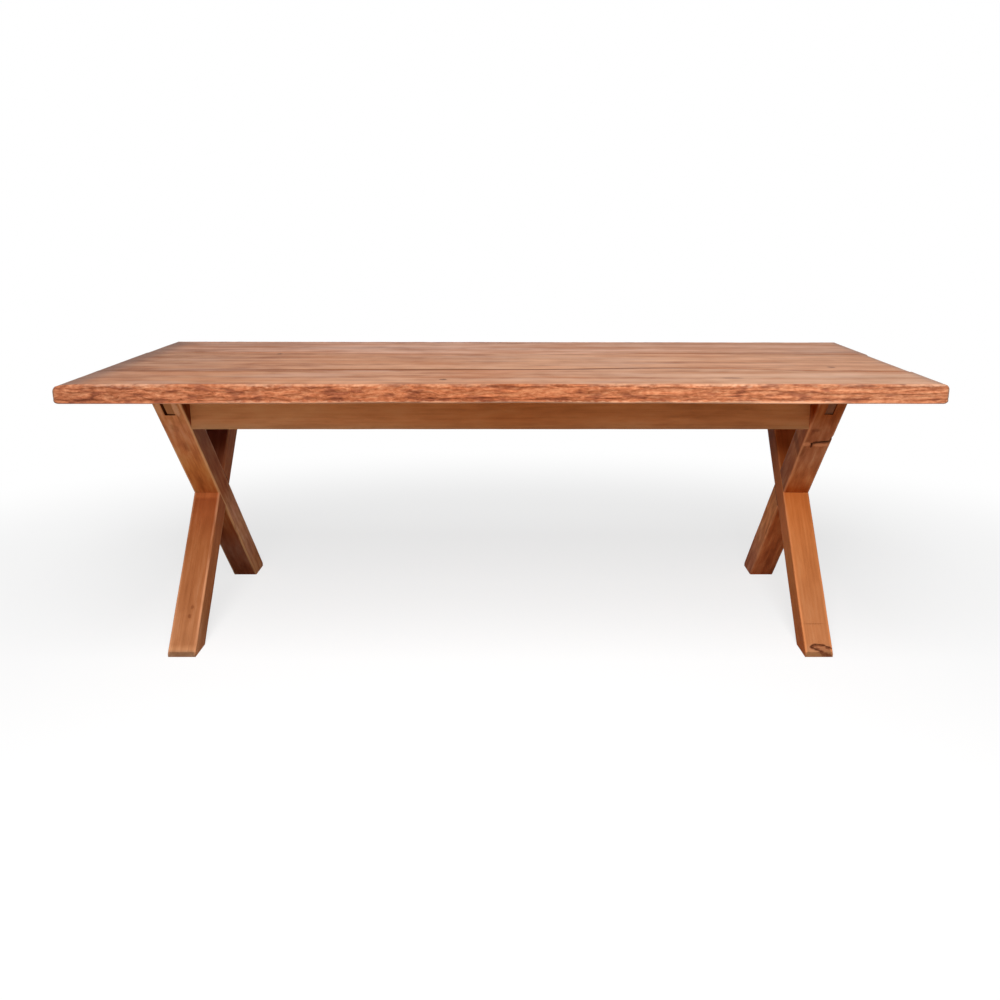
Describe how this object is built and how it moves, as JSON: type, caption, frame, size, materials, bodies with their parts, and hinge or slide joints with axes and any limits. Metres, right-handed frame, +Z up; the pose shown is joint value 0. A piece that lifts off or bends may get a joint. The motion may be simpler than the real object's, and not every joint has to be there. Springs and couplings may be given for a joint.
{
  "type": "sawbuck dining table",
  "caption": "Rustic hardwood dining table: a hewn-edged plank top on cross-lapped X-shaped leg frames with through-tenoned bearers, tied by long aprons.",
  "frame": {"origin": "on the floor, below the centre of the table top", "axes": "+X along the table's length, +Y from the front edge to the back, +Z up"},
  "size_m": [2.2, 0.8993, 0.76],
  "materials": {
    "top_wood": "satin oil on sanded hardwood, hewn edges left rough",
    "frame_wood": "satin oil, worn along the arrises",
    "peg_wood": "end grain, oiled",
    "tongue_wood": "bare sawn wood",
    "screw_steel": "plain wood screw steel"
  },
  "bodies": {
    "root": {"front_plank": "top_wood", "middle_plank": "top_wood", "back_plank": "top_wood", "front_tongue": "tongue_wood", "back_tongue": "tongue_wood", "left_front_leg": "frame_wood", "left_back_leg": "frame_wood", "right_front_leg": "frame_wood", "right_back_leg": "frame_wood", "left_bearer": "frame_wood", "right_bearer": "frame_wood", "centre_bearer": "frame_wood", "front_apron": "frame_wood", "back_apron": "frame_wood", "left_lap_peg": "peg_wood", "right_lap_peg": "peg_wood", "left_front_tenon_peg": "peg_wood", "left_back_tenon_peg": "peg_wood", "right_front_tenon_peg": "peg_wood", "right_back_tenon_peg": "peg_wood", "left_bearer_screws": "screw_steel", "right_bearer_screws": "screw_steel", "centre_bearer_screws": "screw_steel", "front_apron_screws": "screw_steel", "back_apron_screws": "screw_steel"}
  },
  "joints": []
}
